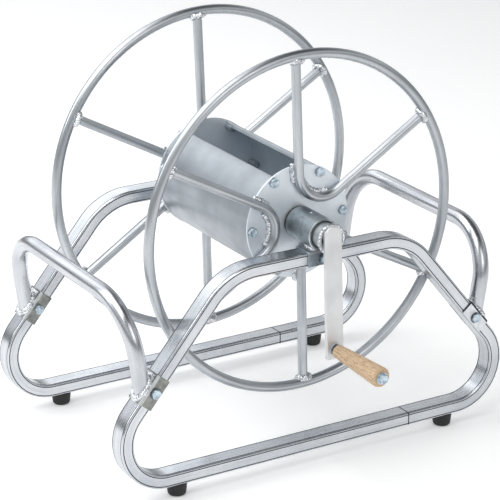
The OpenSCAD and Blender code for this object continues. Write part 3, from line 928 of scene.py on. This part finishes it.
def end_plates():
    """The drum's round ends, each with six bolts and washers."""
    washer_t, washer_r, shank_l = 1.2, 7.0, 19
    for side, mirror in SIDES.items():
        disc = lathed(chamfered_ring(plate_in, plate_out, plate_r, shaft_r, 0.5), 120)
        piece(f"{side}_plate_disc", disc, ON_DRUM @ mirror, "drum", PLATE_METAL, f"{side}_end_plate")
        for i in range(6):
            place = ON_DRUM @ mirror @ turned(30 + 60 * i) @ Matrix.Translation((0, 0, bolt_circle_r))
            place = place @ turned(13 + 37 * i)
            bolt = joined(hexagon(plate_out + washer_t, plate_out + head_h),
                          shank(plate_out - shank_l, plate_out + 1.4, 20))
            piece(f"{side}_plate_bolt_{i + 1}", bolt, place, "drum", ZINC, "plate_bolts")
            washer = lathed(chamfered_ring(plate_out, plate_out + washer_t, washer_r, 4.0, 0.3), 32)
            # Painted shade: the washer under each head is dark zinc.
            piece(f"{side}_plate_washer_{i + 1}", washer, place, "drum", PAINTED_SHADE_ZINC)


# -------- flanges
def hoops():
    """The two flange hoops, each one closed ring of tube."""
    count = 150
    stations = []
    for k in range(count):
        around = 2 * math.pi * k / count
        out = Vector((0, *polar(1, math.pi / 2 - spoke_angle + around)))
        stations.append((Vector((hoop_x, 0, 0)) + out * hoop_r, -out, Vector((1, 0, 0)),
                         hoop_r * around))
    shape = swept(stations, circle(hoop_d / 2), closed=True)
    for side, mirror in SIDES.items():
        piece(f"{side}_hoop_tube", shape, ON_DRUM @ mirror, "drum", FLANGE_METAL, f"{side}_hoop")


def end_ring(direction):
    """Where the skin of an arm meets the hoop, round the arm."""
    axis = Vector((spoke_x, 0, 0))
    across = Vector((0, -direction.z, direction.y))
    points, outs = [], []
    for k in range(24):
        angle = 2 * math.pi * k / 24
        away = Vector((1, 0, 0)) * math.cos(angle) + across * math.sin(angle)
        reach = hoop_r - hoop_d
        while reach < hoop_r - 3.5:
            p = axis + direction * reach + away * spoke_d / 2
            if math.hypot(math.hypot(p.y, p.z) - hoop_r, p.x - hoop_x) < hoop_d / 2:
                break
            reach += 0.25
        points.append(axis + direction * (reach - 0.6) + away * (spoke_d / 2 + 1.6))
        outs.append((away - direction * 0.7).normalized())
    return points, outs


def spokes():
    """The V-shaped spokes, three to an end, with their welds to plate and hoop."""
    extra = 5.0
    reach = spoke_arm + spoke_bend_r / math.tan(spoke_angle) + extra
    start = Vector((spoke_x, math.cos(spoke_angle) * reach, math.sin(spoke_angle) * reach))
    ahead = Vector((0, -math.cos(spoke_angle), -math.sin(spoke_angle)))
    left = Vector((0, math.sin(spoke_angle), -math.cos(spoke_angle)))
    steps = [[spoke_arm + extra], [spoke_bend_r, math.pi - 2 * spoke_angle], [spoke_arm + extra]]
    shape = swept(bent_path(steps, start, ahead, left), circle(spoke_d / 2))
    centre_y = spoke_bend_r / math.sin(spoke_angle)
    foot_x = plate_out + 1.6
    inner_r = spoke_bend_r - spoke_d / 2 + 0.6
    outer_r = spoke_bend_r + spoke_d / 2 - 0.6

    def on_bend(radius, degrees):
        """A point next to the bend, on the plate's face; 0 degrees is the bend's middle."""
        a = math.radians(180 + degrees)
        return Vector((foot_x, centre_y + radius * math.cos(a), radius * math.sin(a)))

    centre = Vector((foot_x, centre_y, 0))
    inside = [on_bend(inner_r - 1.5, d) for d in range(-44, 45, 4)]
    inside_out = [((centre - p).normalized() + Vector((0.9, 0, 0))).normalized() for p in inside]
    half_bend = 90 - math.degrees(spoke_angle)
    for side, mirror in SIDES.items():
        for i in range(3):
            place = ON_DRUM @ mirror @ turned(60 + 120 * i)
            name = f"{side}_spoke_{i + 1}"
            piece(name, shape, place, "drum", FLANGE_METAL, f"{side}_spokes")
            welds = [bead(inside, inside_out, half_w=4.2, half_h=3.4, pitch=3.0, seed=i + 0.5)]
            for s in (-1, 1):
                arc = [on_bend(outer_r + 1.4, s * (half_bend - back)) for back in (16, 8, 0)]
                outs = [((p - centre).normalized() + Vector((0.9, 0, 0))).normalized() for p in arc]
                arm = Vector((0, math.cos(spoke_angle), s * -math.sin(spoke_angle)))
                arc.append(arc[-1] + arm * 17)
                outs.append(outs[-1])
                welds.append(bead(arc, outs, half_w=4.2, half_h=3.4, pitch=3.0, seed=i + s * 3.0))
                direction = Vector((0, math.cos(spoke_angle), s * math.sin(spoke_angle)))
                ring, around = end_ring(direction)
                welds.append(bead(ring, around, half_w=5.2, half_h=4.2, closed=True, pitch=3.6,
                                  seed=i * 2.0 + s))
            piece(f"{name}_weld", joined(*welds), place, "drum", WELD)


# -------- shaft, crank and grip
def shaft_and_crank():
    """The shaft with its end cap, and the crank arm welded to it."""
    bore_r = shaft_r - shaft_wall
    piece("shaft_tube", lathed(chamfered_ring(shaft_left, shaft_right, shaft_r, bore_r, 0.3), 64),
          ON_DRUM, "drum", SHAFT_METAL, "drum_shaft")
    plug_r = bore_r - 0.05
    cap = [(shaft_left + 8, 0.01), (shaft_left + 8, plug_r), (shaft_left, plug_r),
           (shaft_left, shaft_r), (shaft_left - 2, shaft_r), (shaft_left - 3, shaft_r - 1.2),
           (shaft_left - 3, 0.01)]
    piece("shaft_cap", lathed(cap, 48, False), ON_DRUM, "drum", CAP, "shaft_end_cap")
    top, low, corner = 6.0, -crank_r - 14, 2.5
    outline = arc_points(0, top, arm_half_w, 0, 180, 24)
    outline += arc_points(-arm_half_w + corner, low + corner, corner, 180, 270, 5)
    outline += arc_points(arm_half_w - corner, low + corner, corner, 270, 360, 5)
    points = [(x, y, z) for x in (arm_in, arm_out) for y, z in outline]
    bar = points, bands(2, len(outline)), None
    piece("crank_bar_arm", bar, ON_DRUM, "drum", ARM_METAL, "crank_arm", bevel=0.7)
    weld_r = shaft_r + 0.8
    around = [Vector((arm_in - 1.2, y, z)) for y, z in circle(weld_r, 36)]
    outs = [(Vector((0, p.y, p.z)).normalized() + Vector((-0.9, 0, 0))).normalized() for p in around]
    weld = bead(around, outs, half_w=3.0, half_h=2.6, closed=True, pitch=2.4, seed=7.0)
    piece("crank_weld", weld, ON_DRUM, "drum", WELD)


def grip():
    """The turned wooden grip on its long bolt, with washers and nuts."""
    length = grip_out - grip_in
    full_at, r_in, r_out, tip_r = 0.95, 10.0, 15.0, 11.0
    bore_r, round_r, steps = 4.4, 2, 24
    profile = [(grip_in, bore_r), (grip_in, r_in - round_r)]
    profile += arc_points(grip_in + round_r, r_in - round_r, round_r, 150, 90, 2)
    for i in range(2, steps):
        t = i / steps
        profile.append((grip_in + length * full_at * t, r_in + (r_out - r_in) * t))
    for turn in range(0, 91, 10):
        a = math.radians(turn)
        profile.append((grip_in + length * (full_at + (1 - full_at) * math.sin(a)),
                        tip_r + (r_out - tip_r) * math.cos(a)))
    profile.append((grip_out, bore_r))
    piece("turned_grip", lathed(profile, 56), ON_GRIP, "grip", WOOD, "wooden_grip")
    washer_t, washer_r, thin_nut = 1.6, 9, 4.0
    head = bolt_end - head_h
    for where, x0, x1 in (("inner", arm_out, arm_out + washer_t), ("outer", head - washer_t, head)):
        piece(f"grip_washer_{where}", lathed(chamfered_ring(x0, x1, washer_r, 4, 0.3)), ON_GRIP,
              "drum", ZINC, "grip_washers")
    bolt = joined(hexagon(head, bolt_end), shank(arm_in - shank_past, head + 0.2),
                  thread_end(arm_in - tip_past))
    piece("grip_bolt_m8", bolt, ON_GRIP @ turned(12), "drum", ZINC, "grip_bolt")
    outer_nut = hexagon(arm_out + washer_t, arm_out + washer_t + thin_nut, True, shank_r)
    # Painted shade: the outer nut, which sits in shade, is dark zinc.
    piece("grip_nut_outer", outer_nut, ON_GRIP @ turned(25), "drum", PAINTED_SHADE_ZINC, "grip_nuts")
    inner_nut = hexagon(arm_in - nut_h, arm_in, True, shank_r)
    piece("grip_nut_inner", inner_nut, ON_GRIP @ turned(40), "drum", ZINC, "grip_nuts")


# -------- CAD nodes that stay
def kept_nodes():
    """Hidden or plain pieces keep their CAD mesh and get a finished material."""
    # The bushes and thrust washers get the near-black bush plastic, which also stands as painted shade
    # in the gaps round the shaft.
    finishes = {"rail_sleeves": FRAME_METAL, "right_bearing_bush": BLACK_BUSH_AND_SHADE, "left_bearing_bush": BLACK_BUSH_AND_SHADE,
                "foot_studs": ZINC, "shell_bosses": DRUM_METAL, "thrust_washers": BLACK_BUSH_AND_SHADE}
    for name, material in finishes.items():
        node = frame["nodes"][name]
        if not node.data.materials:
            node.data.materials.append(material)
        for item in node.material_slots:
            item.material = material


side_frames()
handles()
brackets()
saddles()
frame_bolts()
bearings()
feet()
drum_shell()
end_plates()
hoops()
spokes()
shaft_and_crank()
grip()
kept_nodes()


# -------- floor, light and camera
def floor():
    """A wide pale floor."""
    size = 9.0
    mesh = bpy.data.meshes.new("floor")
    corners = [(-size, -size, 0), (size, -size, 0), (size, size, 0), (-size, size, 0)]
    mesh.from_pydata(corners, [], [(0, 1, 2, 3)])
    mesh.materials.append(pale_floor())
    ground = in_scene("floor", mesh)


def softbox(name, place, aim, width, height, power, color=(1, 1, 1)):
    """A soft rectangular lamp at one place that points at another."""
    data = bpy.data.lights.new(name, "AREA")
    data.shape = "RECTANGLE"
    data.size, data.size_y = width, height
    data.energy = power
    data.color = color
    lamp = in_scene(name, data)
    lamp.location = place
    lamp.rotation_euler = (Vector(aim) - Vector(place)).to_track_quat("-Z", "Y").to_euler()


def lamps():
    """Five soft lamps."""
    softbox("overhead", (0.1, -1.3, 2.8), (0, 0, 0.1), 3.0, 2.4, 62)
    softbox("rear", (-2.0, -0.5, 3.0), (-1.5, 0.8, 0), 2.4, 2.4, 24)
    softbox("front_left", (-1.6, -2.6, 1.9), (0, 0, 0.3), 1.6, 1.6, 20, (0.95, 0.98, 1.0))
    softbox("front_right", (3.0, 0.2, 1.9), (0, 0, 0.2), 1.4, 1.8, 16, (1.0, 0.98, 0.95))
    softbox("left", (-2.9, -0.1, 1.85), (0, 0, 0.2), 3.6, 1.1, 12, (0.94, 0.97, 1.0))


def surroundings():
    """A world whose tone goes with height: dark over the horizon and overhead, pale between."""
    world = bpy.data.worlds.new("studio")
    bpy.context.scene.world = world
    world.use_nodes = True
    nodes = Tree(world.node_tree)
    place = nodes.add("ShaderNodeTexCoord").outputs["Generated"]
    split = nodes.add("ShaderNodeSeparateXYZ", {"Vector": place})
    height = nodes.add("ShaderNodeMapRange", {"Value": split.outputs[2],
                                              "From Min": -1, "From Max": 1})
    ramp = nodes.add("ShaderNodeValToRGB", {"Fac": height.outputs[0]})
    tones = [(0.0, 0.8), (0.495, 0.8), (0.505, 0.12), (0.56, 0.3), (0.62, 0.75), (0.72, 0.85),
             (0.8, 0.5), (0.88, 0.12), (1.0, 0.08)]
    elements = ramp.color_ramp.elements
    while len(elements) < len(tones):
        elements.new(0.5)
    for element, (position, tone) in zip(elements, tones):
        element.position = position
        element.color = (tone * 0.96, tone * 0.985, tone, 1)
    background = world.node_tree.nodes["Background"]
    nodes.set(background.inputs["Color"], ramp.outputs[0])
    background.inputs["Strength"].default_value = 0.9


def photo_camera():
    """The camera at the photo's angle; its distance and lens give the photo's perspective."""
    yaw, pitch, roll = math.radians(58.64), math.radians(20.53), math.radians(0.31)
    distance = 3.358
    look_at = Vector((-0.0494, -0.0145, 0.277))
    ahead = Vector((-math.sin(yaw) * math.cos(pitch), math.cos(yaw) * math.cos(pitch),
                    -math.sin(pitch)))
    data = bpy.data.cameras.new("camera")
    data.lens = 163.17
    data.sensor_width = 36
    data.clip_end = 60
    camera = in_scene("camera", data)
    turn = ahead.to_track_quat("-Z", "Y") @ Matrix.Rotation(roll, 3, "Z").to_quaternion()
    camera.rotation_euler = turn.to_euler()
    camera.location = look_at - ahead * distance
    bpy.context.scene.camera = camera
    bpy.context.scene.view_settings.view_transform = "Standard"


floor()
lamps()
surroundings()
photo_camera()
